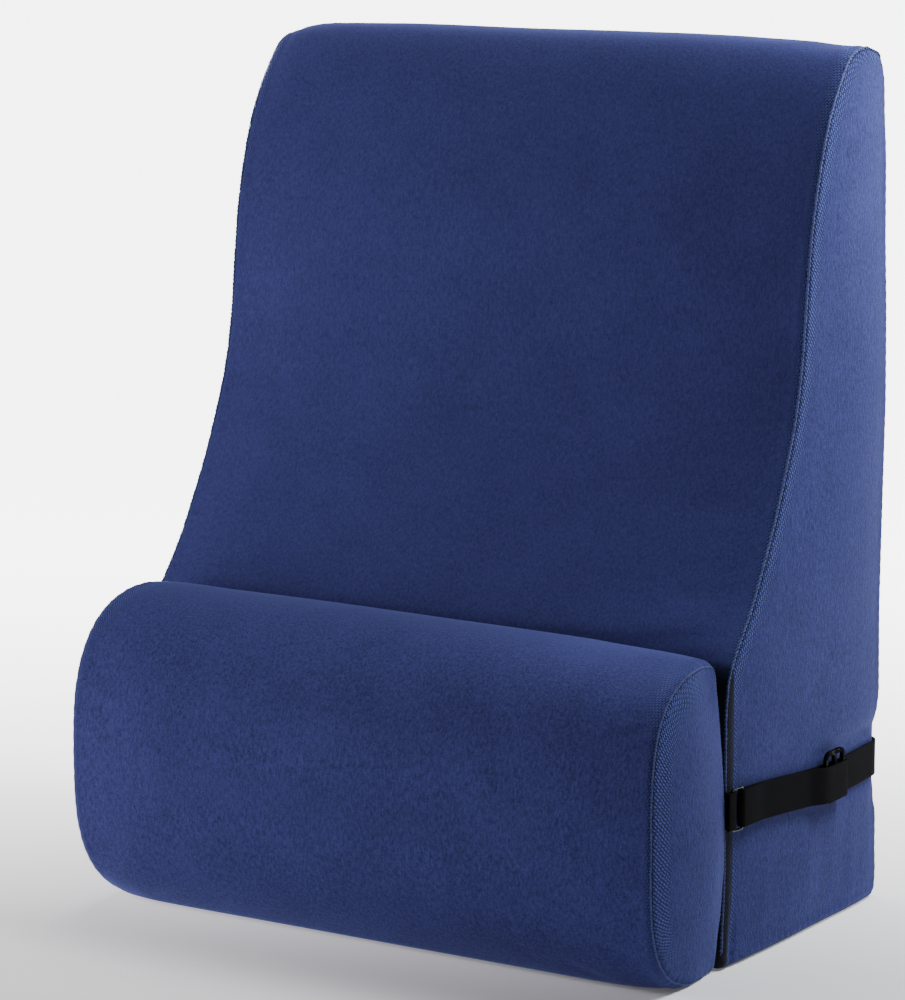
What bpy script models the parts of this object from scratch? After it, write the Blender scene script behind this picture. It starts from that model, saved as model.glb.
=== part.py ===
"""Backrest wedge pillow with a half-moon bolster strapped to its foot.

Metres, +Z up. The pillow stands on its base and faces -Y; its flat back faces +Y.
While it is modelled, x = 0 is the middle of the wedge and y = 0 is the foot of its front.
At the end everything is moved so that the origin is the bottom centre of the whole pillow.
"""

import math

import bmesh
import bpy
from mathutils import Vector

# The wedge, between its side seams.
WEDGE_HALF_WIDTH = 0.225
WEDGE_DEPTH = 0.216
WEDGE_TOP = 0.5735
BASE_EDGE = 0.004
BASE_EDGE_INSET_SHARE = 0.3
BASE_EDGE_HEIGHTS = (0.0012, 0.0018)
FRONT_CORNER = 0.003
BACK_CORNER = 0.0035
LARGEST_CORNER_SHARE = 0.3

# How far the filled panels swell between their seams.
FRONT_SWELL = 0.0025
FRONT_SWELL_STARTS = 0.19
FRONT_SWELL_FADE = 0.12
SIDE_SWELL_AT_BASE = 0.0037
SIDE_SWELL = 0.0055
SIDE_SWELL_POWER = 0.6
FOOT_HEIGHT = 0.06
TOP_SWELL = 0.0085
TOP_SWELL_POWER = 5
TOP_SWELL_STARTS = 0.5
SEAM_DRAWN_IN = 0.0015

# Side view of the wedge, a row for each section: where the front of the section lies
# (set back, height) and where its back lies (set back from the same plane, height).
WEDGE_SECTIONS = (
    (0.0000, 0.0040, 0.2160, 0.0060),
    (0.0000, 0.0150, 0.2160, 0.0160),
    (0.0000, 0.0350, 0.2160, 0.0350),
    (0.0000, 0.0580, 0.2160, 0.0580),
    (0.0000, 0.0780, 0.2160, 0.0780),
    (0.0000, 0.1240, 0.2160, 0.1240),
    (0.0000, 0.1440, 0.2160, 0.1440),
    (0.0003, 0.1650, 0.2160, 0.1670),
    (0.0018, 0.1810, 0.2160, 0.1850),
    (0.0070, 0.1960, 0.2160, 0.2040),
    (0.0185, 0.2115, 0.2160, 0.2240),
    (0.0330, 0.2300, 0.2160, 0.2450),
    (0.0480, 0.2550, 0.2160, 0.2680),
    (0.0625, 0.2810, 0.2160, 0.2920),
    (0.0750, 0.3080, 0.2160, 0.3180),
    (0.0880, 0.3400, 0.2160, 0.3480),
    (0.0965, 0.3750, 0.2159, 0.3820),
    (0.1010, 0.4120, 0.2157, 0.4170),
    (0.1060, 0.4520, 0.2152, 0.4520),
    (0.1140, 0.4870, 0.2144, 0.4840),
    (0.1245, 0.5180, 0.2133, 0.5120),
    (0.1370, 0.5430, 0.2120, 0.5330),
    (0.1480, 0.5580, 0.2105, 0.5460),
    (0.1570, 0.5670, 0.2080, 0.5560),
    (0.1670, 0.5720, 0.2040, 0.5640),
    (0.1780, 0.5735, 0.1980, 0.5690),
)

# Below this height the rows stand as they are; above it one more row is put in each space.
FIRST_EASED_ROW = 0.165

# Where the points of one section lie: across the half width and along the depth, as shares.
ACROSS = (1.0, 0.973, 0.933, 0.8, 0.6, 0.4, 0.2)
ALONG = (0.0, 0.025, 0.06, 0.12, 0.24, 0.42, 0.6, 0.78, 0.9, 0.935, 0.97, 1.0)

# The strap squeezes the back corners of the wedge in this band of heights.
BELT_LOW = 0.078
BELT_HIGH = 0.124
BELT_FADE = 0.02
BELT_CORNER = 0.012

# The upright crease behind the front seam, near the floor.
CREASE_SHARE = 0.06
CREASE_DEPTH = 0.0015
CREASE_TOP = 0.075

# The half-moon bolster, between its end seams.
BOLSTER_SHIFT = 0.0040
BOLSTER_HALF_LENGTH = 0.2225
BOLSTER_MIDDLE_HEIGHT = 0.1035
BOLSTER_DEPTH = 0.098
BOLSTER_END_DEPTH = 0.095
BOLSTER_RISE = 0.1070
BOLSTER_END_RISE = 0.1035
BOLSTER_LEAN = 0.0028
BOLSTER_END_DROP = 0.1045
BOLSTER_DROP = 0.1139
BOLSTER_SAG = 0.002
BOLSTER_SQUARENESS = 3.0
BOLSTER_PULL_POWER = 16
BOLSTER_END_SWELL = 0.0055
BOLSTER_END_CENTRE_SHARE = 0.45
BOLSTER_END_DRAWN_IN = 0.004
BOLSTER_BACK_DRAWN_IN = 0.0035
BOLSTER_BACK_FADE = 0.04
BOLSTER_BACK_EDGE = 0.004
BOLSTER_TOP_CORNER = 0.010
BOLSTER_BACK_EDGE_SHARE = 0.3
BOLSTER_STATIONS = (1.0, 0.975, 0.93, 0.84, 0.68, 0.48, 0.24)
BOLSTER_RINGS = (0.93, 0.8, 0.62, 0.42, 0.2)
BOLSTER_ARC_STEPS = 34
BOLSTER_BACK_STEPS = 6

# The webbing and the hardware on it.
CLEARANCE = 0.0003
WEBBING_WIDTH = 0.0246
WEBBING_THICKNESS = 0.0015
WEBBING_LAYER = WEBBING_THICKNESS + CLEARANCE
BELT_HEIGHT = 0.0984
LINK_HEIGHT = 0.1051
SEWN_END = 0.185
LINK_WIRE = 0.0009
LINK_LENGTH = 0.0105
LINK_TALL = 0.0270
LINK_CORNER = 0.0012
LINK_FRONT_BAR = 0.0035
SLIDER_START = 0.1165
SLIDER_LENGTH = 0.028
SLIDER_TALL = 0.0347
SLIDER_THICKNESS = 0.0024
SLIDER_BAR = 0.003
SLIDER_LOW = 0.0853
SLIDER_CORNER = 0.006
SLIDER_SLOT_CORNER = 0.001

COLLECTION = "wedge_pillow"
SHARP_ANGLE = 35


def clear_scene():
    for item in list(bpy.data.objects):
        bpy.data.objects.remove(item, do_unlink=True)


def new_material(name, colour, roughness, metallic=0.0):
    material = bpy.data.materials.new(name)
    material.use_nodes = True
    shader = material.node_tree.nodes["Principled BSDF"]
    shader.inputs["Base Color"].default_value = (*colour, 1.0)
    shader.inputs["Roughness"].default_value = roughness
    shader.inputs["Metallic"].default_value = metallic
    return material


def keep(item, material, collection):
    """Puts a finished object in the pillow's collection with its material."""
    for other in list(item.users_collection):
        other.objects.unlink(item)
    collection.objects.link(item)
    item.data.materials.clear()
    item.data.materials.append(material)
    return item


def object_from(bm, name):
    bmesh.ops.recalc_face_normals(bm, faces=bm.faces)
    mesh = bpy.data.meshes.new(name)
    bm.to_mesh(mesh)
    bm.free()
    mesh.shade_smooth()
    mesh.set_sharp_from_angle(angle=math.radians(SHARP_ANGLE))
    return bpy.data.objects.new(name, mesh)


def smooth_step(value):
    value = min(max(value, 0.0), 1.0)
    return value * value * (3.0 - 2.0 * value)


def mix(start, end, share):
    return start + (end - start) * share


def belt_grip(height):
    """1 in the band where the strap squeezes the wedge, fading to 0 above and below it."""
    if height < BELT_LOW:
        return smooth_step(1.0 - (BELT_LOW - height) / BELT_FADE)
    return smooth_step(1.0 - (height - BELT_HIGH) / BELT_FADE)


def round_corner(x, along, half_width, front, back, front_radius, back_radius):
    """Pulls a point of the section's rectangle in to the arc of its nearest corner."""
    radius = front_radius if along < (front + back) / 2 else back_radius
    inner_x = min(max(x, -half_width + radius), half_width - radius)
    inner_along = min(max(along, front + radius), back - radius)
    reach = math.hypot(x - inner_x, along - inner_along)
    if reach <= radius:
        return x, along
    return inner_x + (x - inner_x) * radius / reach, inner_along + (along - inner_along) * radius / reach


def section_perimeter():
    """(share across, share along) for the points of one section, anticlockwise from the front left."""
    columns = [-share for share in ACROSS] + [0.0] + list(reversed(ACROSS))
    front = [(column, 0.0) for column in columns[:-1]]
    right = [(1.0, share) for share in ALONG[:-1]]
    back = [(column, 1.0) for column in reversed(columns[1:])]
    left = [(-1.0, share) for share in reversed(ALONG[1:])]
    return front + right + back + left


def wedge_section(row, inset=0.0):
    """The closed loop of points of one section of the wedge."""
    front_y, front_z, back_y, back_z = row
    front = Vector((0.0, front_y, front_z))
    back = Vector((0.0, back_y, back_z))
    depth = (back - front).length
    to_back = (back - front) / depth
    thickness_share = depth / WEDGE_DEPTH
    climb = smooth_step((front_z - TOP_SWELL_STARTS) / (WEDGE_TOP - TOP_SWELL_STARTS))
    foot = smooth_step(front_z / FOOT_HEIGHT)
    above_bolster = smooth_step((front_z - FRONT_SWELL_STARTS) / FRONT_SWELL_FADE)
    half_width = WEDGE_HALF_WIDTH - SEAM_DRAWN_IN * (climb + 1.0 - foot) - inset
    largest = LARGEST_CORNER_SHARE * depth
    front_radius = min(FRONT_CORNER, largest)
    back_radius = min(mix(BACK_CORNER, BELT_CORNER, belt_grip(front_z)), largest)
    side_swell = mix(SIDE_SWELL_AT_BASE, SIDE_SWELL, foot) * thickness_share**SIDE_SWELL_POWER
    crease = CREASE_DEPTH * (1.0 - smooth_step(front_z / CREASE_TOP))
    points = []
    for across, along in section_perimeter():
        x, run = round_corner(
            across * half_width,
            inset + along * (depth - 2 * inset),
            half_width,
            inset,
            depth - inset,
            front_radius,
            back_radius,
        )
        if abs(across) == 1.0:
            swell = side_swell * (1.0 - (2.0 * along - 1.0) ** 2)
            if along == CREASE_SHARE:
                swell -= crease
            x += math.copysign(swell, x)
        middle = 1.0 - across * across
        if along == 0.0:
            run -= FRONT_SWELL * middle * above_bolster
        point = front + to_back * run
        point.x = x
        point.z += TOP_SWELL * (1.0 - abs(across) ** TOP_SWELL_POWER) * climb
        points.append(point)
    return points


def eased_rows():
    """The rows of the side view, with a row halfway between each two on a smooth curve through them."""
    rows = [WEDGE_SECTIONS[0]]
    last = len(WEDGE_SECTIONS) - 1
    for i in range(last):
        here = WEDGE_SECTIONS[i]
        following = WEDGE_SECTIONS[i + 1]
        if here[1] >= FIRST_EASED_ROW:
            before = WEDGE_SECTIONS[i - 1]
            beyond = WEDGE_SECTIONS[min(i + 2, last)]
            halfway = []
            for values in zip(before, here, following, beyond):
                halfway.append((9.0 * (values[1] + values[2]) - values[0] - values[3]) / 16.0)
            rows.append((max(halfway[0], 0.0), halfway[1], min(halfway[2], WEDGE_DEPTH), halfway[3]))
        rows.append(following)
    return rows


def build_wedge():
    """The filled backrest: a loft of sections, flat below and closed along its narrow top."""
    bm = bmesh.new()
    first = WEDGE_SECTIONS[0]
    base_row = (first[0], 0.0, first[2], 0.0)
    edge_row = (first[0], BASE_EDGE_HEIGHTS[0], first[2], BASE_EDGE_HEIGHTS[1])
    loops = [wedge_section(base_row, inset=BASE_EDGE)]
    loops.append(wedge_section(edge_row, inset=BASE_EDGE_INSET_SHARE * BASE_EDGE))
    loops += [wedge_section(row) for row in eased_rows()]
    rings = [[bm.verts.new(point) for point in loop] for loop in loops]
    count = len(rings[0])
    for lower, upper in zip(rings, rings[1:]):
        for i in range(count):
            j = (i + 1) % count
            bm.faces.new((lower[i], lower[j], upper[j], upper[i]))
    bm.faces.new(list(reversed(rings[0])))
    close_top(bm, rings[-1])
    return object_from(bm, "wedge_cushion")


def close_top(bm, ring):
    """Quads across the narrow top, from the front run to the back run, and one face at each end."""
    columns = 2 * len(ACROSS)
    sides = len(ALONG) - 1
    front = ring[: columns + 1]
    back = list(reversed(ring[columns + sides : 2 * columns + sides + 1]))
    for i in range(1, columns - 1):
        bm.faces.new((front[i], front[i + 1], back[i + 1], back[i]))
    right_side = ring[columns : columns + sides + 1]
    bm.faces.new([front[columns - 1], *right_side, back[columns - 1]])
    left_side = ring[2 * columns + sides :] + ring[:1]
    bm.faces.new([back[1], *left_side, front[1]])


def bolster_outline(share):
    """The half-moon section at a share of the half length from the middle, from top to bottom, then up the back."""
    pull = abs(share) ** BOLSTER_PULL_POWER
    depth = mix(BOLSTER_DEPTH, BOLSTER_END_DEPTH, pull)
    rise = mix(BOLSTER_RISE - BOLSTER_SAG * share**2, BOLSTER_END_RISE, pull)
    rise -= BOLSTER_LEAN * share
    drop = mix(BOLSTER_DROP, BOLSTER_END_DROP, pull)
    power = 2.0 / BOLSTER_SQUARENESS
    points = []
    for step in range(1, BOLSTER_ARC_STEPS):
        angle = math.pi * (0.5 - step / BOLSTER_ARC_STEPS)
        up = (rise if angle > 0 else -drop) * abs(math.sin(angle)) ** power
        points.append((-depth * math.cos(angle) ** power, up))
    low = -min(drop, BOLSTER_MIDDLE_HEIGHT)
    eased = BOLSTER_BACK_EDGE_SHARE * BOLSTER_BACK_EDGE
    corner = mix(BOLSTER_BACK_EDGE, BOLSTER_TOP_CORNER, pull)
    eased_top = BOLSTER_BACK_EDGE_SHARE * corner
    points.append((-eased, low + eased))
    for step in range(BOLSTER_BACK_STEPS + 1):
        share_up = step / BOLSTER_BACK_STEPS
        points.append((0.0, mix(low + BOLSTER_BACK_EDGE, rise - corner, share_up)))
    points.append((-eased_top, rise - eased_top))
    return points


def bolster_point(x, depth, rise, back_plane):
    """A point of the bolster; what would lie under the floor is flattened on it."""
    return Vector((BOLSTER_SHIFT + x, back_plane + depth, max(BOLSTER_MIDDLE_HEIGHT + rise, 0.0)))


def end_seam(depth, rise):
    """How far the end seam is from the middle: it is drawn in towards its top, bottom and back."""
    drawn_in = BOLSTER_END_DRAWN_IN
    drawn_in += BOLSTER_BACK_DRAWN_IN * smooth_step(1.0 + depth / BOLSTER_BACK_FADE)
    return BOLSTER_HALF_LENGTH - drawn_in * (rise / BOLSTER_END_RISE) ** 2


def build_bolster():
    """The filled half-moon bolster: rings of its section, and swelling end panels."""
    back_plane = -(2 * CLEARANCE + WEBBING_THICKNESS)
    shares = [-share for share in BOLSTER_STATIONS] + [0.0] + list(reversed(BOLSTER_STATIONS))
    bm = bmesh.new()
    rings = []
    for share in shares:
        ring = []
        for depth, rise in bolster_outline(share):
            ring.append(bm.verts.new(bolster_point(share * end_seam(depth, rise), depth, rise, back_plane)))
        rings.append(ring)
    centre_depth = -BOLSTER_END_CENTRE_SHARE * BOLSTER_END_DEPTH
    for side in (-1.0, 1.0):
        end_outline = bolster_outline(side)
        panel = []
        for ring_share in BOLSTER_RINGS:
            ring = []
            for depth, rise in end_outline:
                inner = (mix(centre_depth, depth, ring_share), rise * ring_share)
                x = side * (end_seam(*inner) + BOLSTER_END_SWELL * (1.0 - ring_share**2))
                ring.append(bm.verts.new(bolster_point(x, *inner, back_plane)))
            panel.append(ring)
        if side > 0:
            rings += panel
        else:
            rings = list(reversed(panel)) + rings
    count = len(rings[0])
    for left, right in zip(rings, rings[1:]):
        for i in range(count):
            j = (i + 1) % count
            bm.faces.new((left[i], left[j], right[j], right[i]))
    for ring in (rings[0], rings[-1]):
        cap = bm.faces.new(ring)
        bmesh.ops.poke(bm, faces=[cap])
    return object_from(bm, "bolster_cushion")


def belt_loop():
    """The wedge's section in the band of the strap, as (x, y) points."""
    middle = (BELT_LOW + BELT_HIGH) / 2
    loop = wedge_section((0.0, middle, WEDGE_DEPTH, middle))
    return [(point.x, point.y) for point in loop]


def side_surface(side, depth):
    """The x of the wedge's side, in the band of the strap, at a depth from its front."""
    columns = 2 * len(ACROSS)
    right = belt_loop()[columns : columns + len(ALONG)]
    for (x0, y0), (x1, y1) in zip(right, right[1:]):
        if y0 <= depth <= y1:
            return side * mix(x0, x1, (depth - y0) / (y1 - y0))
    return side * right[-1][0]


def offset_path(path, distance):
    """Moves a path of (x, y) points to its right by a distance, with mitred corners."""
    moved = []
    for i, (x, y) in enumerate(path):
        before = Vector(path[max(i - 1, 0)])
        here = Vector((x, y))
        after = Vector(path[min(i + 1, len(path) - 1)])
        legs = [leg.normalized() for leg in (here - before, after - here) if leg.length > 0]
        normals = [Vector((leg.y, -leg.x)) for leg in legs]
        mitre = sum(normals, Vector((0.0, 0.0))).normalized()
        moved.append(here + mitre * distance / max(mitre.dot(normals[0]), 0.5))
    return moved


def turn(centre, radius, start, end, steps):
    """Points round a bar, from one angle to the other, in degrees."""
    angles = [math.radians(mix(start, end, step / steps)) for step in range(steps + 1)]
    return [(centre[0] + radius * math.cos(a), centre[1] + radius * math.sin(a)) for a in angles]


def build_webbing(name, path, heights):
    """A flat strip that stands on its edge along a path of centre points."""
    half = WEBBING_THICKNESS / 2
    faces_out = offset_path(path, half)
    faces_in = offset_path(path, -half)
    bm = bmesh.new()
    rings = []
    for outer, inner, height in zip(faces_out, faces_in, heights):
        low = height - WEBBING_WIDTH / 2
        high = height + WEBBING_WIDTH / 2
        corners = ((outer, low), (inner, low), (inner, high), (outer, high))
        rings.append([bm.verts.new((point[0], point[1], z)) for point, z in corners])
    for one, other in zip(rings, rings[1:]):
        for i in range(4):
            j = (i + 1) % 4
            bm.faces.new((one[i], one[j], other[j], other[i]))
    bm.faces.new(rings[0])
    bm.faces.new(list(reversed(rings[-1])))
    return object_from(bm, name)


def link_place():
    """The distances of the link's bars from the front, and how far out they stand from the side."""
    rear = LINK_FRONT_BAR + LINK_LENGTH
    stand_off = CLEARANCE + WEBBING_LAYER + LINK_WIRE
    return LINK_FRONT_BAR, rear, stand_off


def build_tab():
    """The short webbing tab: sewn to the bolster's back, round the wedge's corner and through the link."""
    front_bar, _, stand_off = link_place()
    near = CLEARANCE + WEBBING_THICKNESS / 2
    columns = 2 * len(ACROSS)
    loop = belt_loop()
    surface = [(SEWN_END, 0.0)] + loop[columns - 2 : columns + 1]
    surface.append((side_surface(1, front_bar), front_bar))
    path = offset_path(surface, near)[:-1]
    bar = (side_surface(1, front_bar) + stand_off, front_bar)
    around = turn(bar, stand_off - near, 180, 0, 8)
    end = (around[-1][0] - 0.001, front_bar - 0.007)
    path = [tuple(point) for point in path] + around + [end]
    return build_webbing("tab_webbing", path, [LINK_HEIGHT] * len(path))


def build_strap():
    """One long webbing: from the bolster's back at the left, round the wedge, through the link and back to the slider."""
    _, rear_bar, stand_off = link_place()
    near = CLEARANCE + WEBBING_THICKNESS / 2
    columns = 2 * len(ACROSS)
    sides = len(ALONG) - 1
    loop = belt_loop()
    right_side = [point for point in loop[columns + 1 : columns + sides] if point[1] > rear_bar + 0.002]
    back = loop[columns + sides : 2 * columns + sides + 1]
    left_side = loop[2 * columns + sides + 1 :]
    surface = right_side + back + left_side + loop[:3] + [(-SEWN_END, 0.0)]
    surface = [(side_surface(1, rear_bar), rear_bar)] + surface
    first_run = list(reversed([tuple(point) for point in offset_path(surface, near)]))[:-1]
    bar = (side_surface(1, rear_bar) + stand_off, rear_bar)
    around_link = turn(bar, stand_off - near, 180, 360, 8)
    slider_end = SLIDER_START + SLIDER_LENGTH
    second = near + WEBBING_LAYER
    over_slider = second + WEBBING_LAYER + SLIDER_THICKNESS + CLEARANCE
    doubled = (
        (rear_bar + 0.012, second + 0.0015),
        (rear_bar + 0.025, second),
        (0.060, second),
        (0.090, second),
        (SLIDER_START - 0.016, second + 0.0006),
        (SLIDER_START - 0.003, over_slider),
        (SLIDER_START + SLIDER_LENGTH / 2, over_slider),
    )
    second_run = [(side_surface(1, depth) + out, depth) for depth, out in doubled]
    end_surface = side_surface(1, slider_end)
    bar = (end_surface + (second + over_slider) / 2, slider_end)
    around_slider = turn(bar, (over_slider - second) / 2, 0, 180, 8)
    under = slider_end - 0.008
    last = (side_surface(1, under) + second, under)
    path = first_run + around_link + second_run + around_slider + [last]
    return build_webbing("strap_webbing", path, strap_heights(path, len(first_run), slider_end))


def strap_heights(path, first_count, slider_end):
    """The height of the strap's centre line: level round the back, then climbing to the link."""
    heights = []
    for i, (x, y) in enumerate(path):
        on_right = i >= first_count or x > WEDGE_HALF_WIDTH
        climb = smooth_step((slider_end - y) / (slider_end - 0.014)) if on_right and y < slider_end else 0.0
        heights.append(mix(BELT_HEIGHT, LINK_HEIGHT, climb))
    return heights


def rounded_rectangle(half_long, half_tall, corner, steps):
    points = []
    centres = ((1, 1, 0), (-1, 1, 90), (-1, -1, 180), (1, -1, 270))
    for sign_long, sign_tall, start in centres:
        centre = (sign_long * (half_long - corner), sign_tall * (half_tall - corner))
        points += turn(centre, corner, start, start + 90, steps)
    return points


def add_closed_spline(curve, points):
    spline = curve.splines.new("POLY")
    spline.points.add(len(points) - 1)
    for knot, (along, up) in zip(spline.points, points):
        knot.co = (along, up, 0.0, 1.0)
    spline.use_cyclic_u = True


def stand_on_side(item, first_depth, last_depth, out, height):
    """Turns a flat piece drawn in its own x (along the strap) and y (up) to lie along the wedge's right side."""
    start = Vector((side_surface(1, first_depth) + out, first_depth, height))
    end = Vector((side_surface(1, last_depth) + out, last_depth, height))
    heading = math.atan2(end.y - start.y, end.x - start.x)
    item.location = (start + end) / 2
    item.rotation_euler = (math.radians(90), 0.0, heading)


def build_link():
    """The rectangular wire link between the tab and the strap."""
    front_bar, rear_bar, stand_off = link_place()
    curve = bpy.data.curves.new("link_ring", "CURVE")
    curve.dimensions = "3D"
    curve.bevel_depth = LINK_WIRE
    curve.bevel_resolution = 2
    half_long = LINK_LENGTH / 2
    add_closed_spline(curve, rounded_rectangle(half_long, LINK_TALL / 2, LINK_CORNER, 3))
    item = bpy.data.objects.new("link_ring", curve)
    stand_on_side(item, front_bar, rear_bar, stand_off, LINK_HEIGHT)
    return item


def build_slider():
    """The flat slider with a middle bar; the strap's folded end goes round its rear bar."""
    curve = bpy.data.curves.new("strap_slider", "CURVE")
    curve.dimensions = "2D"
    curve.fill_mode = "BOTH"
    curve.extrude = SLIDER_THICKNESS / 2
    half_long = SLIDER_LENGTH / 2
    add_closed_spline(curve, rounded_rectangle(half_long, SLIDER_TALL / 2, SLIDER_CORNER, 5))
    slot = (SLIDER_LENGTH - 3 * SLIDER_BAR) / 2
    slot_tall = SLIDER_TALL / 2 - SLIDER_BAR
    for side in (-1, 1):
        middle = side * (SLIDER_BAR + slot) / 2
        hole = rounded_rectangle(slot / 2, slot_tall, SLIDER_SLOT_CORNER, 2)
        add_closed_spline(curve, [(middle + along, up) for along, up in hole])
    item = bpy.data.objects.new("strap_slider", curve)
    near = CLEARANCE + WEBBING_THICKNESS / 2
    out = near + 2 * WEBBING_LAYER - WEBBING_THICKNESS / 2 + SLIDER_THICKNESS / 2
    stand_on_side(item, SLIDER_START, SLIDER_START + SLIDER_LENGTH, out, SLIDER_LOW + SLIDER_TALL / 2)
    return item


def stand_at_origin(items):
    """Moves the pieces together, so that the origin is the bottom centre of the pillow."""
    bpy.context.view_layer.update()
    corners = []
    graph = bpy.context.evaluated_depsgraph_get()
    for item in items:
        shape = item.evaluated_get(graph)
        mesh = shape.to_mesh()
        corners += [shape.matrix_world @ vertex.co for vertex in mesh.vertices]
        shape.to_mesh_clear()
    shift = Vector((0.0, 0.0, -min(corner.z for corner in corners)))
    for axis in (0, 1):
        values = [corner[axis] for corner in corners]
        shift[axis] = -(min(values) + max(values)) / 2
    frame = bpy.data.objects.new("pillow_frame", None)
    items[0].users_collection[0].objects.link(frame)
    frame.location = shift
    for item in items:
        item.parent = frame


def main():
    clear_scene()
    collection = bpy.data.collections.new(COLLECTION)
    bpy.context.scene.collection.children.link(collection)
    velour = new_material("blue_velour", (0.028, 0.055, 0.190), 0.9)
    bolster_velour = new_material("bolster_velour", (0.034, 0.066, 0.215), 0.9)
    webbing = new_material("black_webbing", (0.008, 0.008, 0.010), 0.75)
    tab_webbing = new_material("tab_webbing", (0.010, 0.010, 0.012), 0.75)
    wire = new_material("black_wire", (0.012, 0.012, 0.014), 0.25, 0.6)
    plastic = new_material("slider_plastic", (0.010, 0.010, 0.012), 0.3)
    pieces = (
        (build_wedge(), velour),
        (build_bolster(), bolster_velour),
        (build_strap(), webbing),
        (build_tab(), tab_webbing),
        (build_link(), wire),
        (build_slider(), plastic),
    )
    items = [keep(item, material, collection) for item, material in pieces]
    stand_at_origin(items)


main()
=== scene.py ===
import math

import bmesh
import bpy
import numpy as np
from mathutils import Matrix, Vector, bvhtree, kdtree, noise


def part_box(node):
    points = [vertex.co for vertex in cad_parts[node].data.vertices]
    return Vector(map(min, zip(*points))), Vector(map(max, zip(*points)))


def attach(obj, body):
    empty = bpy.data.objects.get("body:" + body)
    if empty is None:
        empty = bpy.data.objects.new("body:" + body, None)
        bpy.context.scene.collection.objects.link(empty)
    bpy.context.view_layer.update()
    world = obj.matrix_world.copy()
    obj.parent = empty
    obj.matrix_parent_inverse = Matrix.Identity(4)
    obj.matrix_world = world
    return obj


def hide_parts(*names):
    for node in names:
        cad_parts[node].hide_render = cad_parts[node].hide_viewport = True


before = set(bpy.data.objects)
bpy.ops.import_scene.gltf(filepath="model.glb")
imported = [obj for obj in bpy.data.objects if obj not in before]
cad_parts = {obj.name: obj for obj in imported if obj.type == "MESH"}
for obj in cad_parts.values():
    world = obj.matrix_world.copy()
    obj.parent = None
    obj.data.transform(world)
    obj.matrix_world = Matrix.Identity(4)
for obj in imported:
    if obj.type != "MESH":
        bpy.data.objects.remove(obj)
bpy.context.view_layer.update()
bpy.ops.object.select_all(action="DESELECT")

# All lengths are in metres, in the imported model's frame.
# The foot of the wedge's front, in the middle of its width: the pillow's own working origin.
WEDGE_LOW, WEDGE_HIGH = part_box("wedge_cushion")
BOLSTER_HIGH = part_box("bolster_cushion")[1]
FOOT = Vector(((WEDGE_LOW.x + WEDGE_HIGH.x) / 2, WEDGE_LOW.y, 0.0))

# The camera, from the working origin. Its lens is for a 36 mm sensor as tall as the picture.
CAMERA_PLACE = Vector((1.3502, -2.0935, 0.7136))
CAMERA_RIGHT = Vector((0.84429, 0.53588, 0.0))
CAMERA_UP = Vector((-0.09123, 0.14373, 0.98540))
CAMERA_BACK = Vector((0.52806, -0.83197, 0.17024))
CAMERA_LENS = 139.448
SENSOR = 36.0

# The studio's paper: how far it lies under the pillow, and how brightly its far end is lit.
PAPER_LEVEL = -0.0003
BACKDROP_GLOW = 6.0

# The wedge and the bolster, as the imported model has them.
WEDGE_SEAM_X = 0.225
WEDGE_INSET = 0.004
WEDGE_CORNER = 0.005
TOP_BACK_EDGE = 0.579
BOLSTER_SEAM_X = 0.2200
BOLSTER_MIDDLE_X = 0.0040
BOLSTER_CORNER = 0.008

# The strap presses on the wedge between these heights, and eases off over a little more.
BELT_LOW = 0.084
BELT_HIGH = 0.120
BELT_EASE = 0.006

# Points along a seam line are this far apart.
SEAM_STEP = 0.001

# The covers are remeshed at these sizes, then blown up as cloth and held to this reach.
WEDGE_VOXEL = 0.0055
BOLSTER_VOXEL = 0.0045
PRESSURE = 4.0
CLOTH_FRAMES = 20
WEDGE_REACH = 0.0022
BOLSTER_REACH = 0.0022

# Puckers along the seams, and the side panel's crease behind the front seam, near the foot.
WEDGE_PUCKER = 0.0078
BOLSTER_PUCKER = 0.009
CREASE_BEHIND = 0.0105
CREASE_WIDTH = 0.0022

# Seam threads: radius, and the length of one turn of the two threads round each other.
WEDGE_THREAD = 0.00046
WEDGE_TWIST = 0.0060
BOLSTER_THREAD = 0.00034
BOLSTER_TWIST = 0.0042

# The knitted ground's stitches, where a seam pulls them open.
STITCH = 0.0016

# Painted shade: the lower front, hidden behind the bolster, is painted the back cloth's black up to this
# height and this far round the corners, for the shade in the gap.
PAINTED_SHADE_TOP = 0.195
PAINTED_SHADE_WRAP = 0.0085

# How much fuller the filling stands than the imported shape: along the back edges by height,
# and along the top by the distance from the middle of the width.
BACK_EDGE_HEIGHTS = (
    0.0, 0.02, 0.035, 0.065, 0.084, 0.12, 0.132, 0.145,
    0.2, 0.27, 0.34, 0.4, 0.45, 0.53, 0.55,
)
BACK_EDGE_FULLER = (
    0.0026, 0.0026, 0.0014, 0.0006, 0.0004, 0.0006, 0.0020, 0.0020,
    0.0012, 0.0018, 0.0026, 0.0018, 0.0004, 0.0004, 0.0012,
)
TOP_PLACES = (
    -0.225, -0.216, -0.208, -0.198, -0.18, -0.14, -0.08,
    -0.02, 0.07, 0.15, 0.18, 0.205, 0.225,
)
TOP_FULLER = (
    -0.0003, 0.0012, 0.0034, 0.0040, 0.0028, 0.0014, 0.0007,
    0.0004, 0.0003, 0.0005, 0.0008, 0.0015, 0.0028,
)

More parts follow.
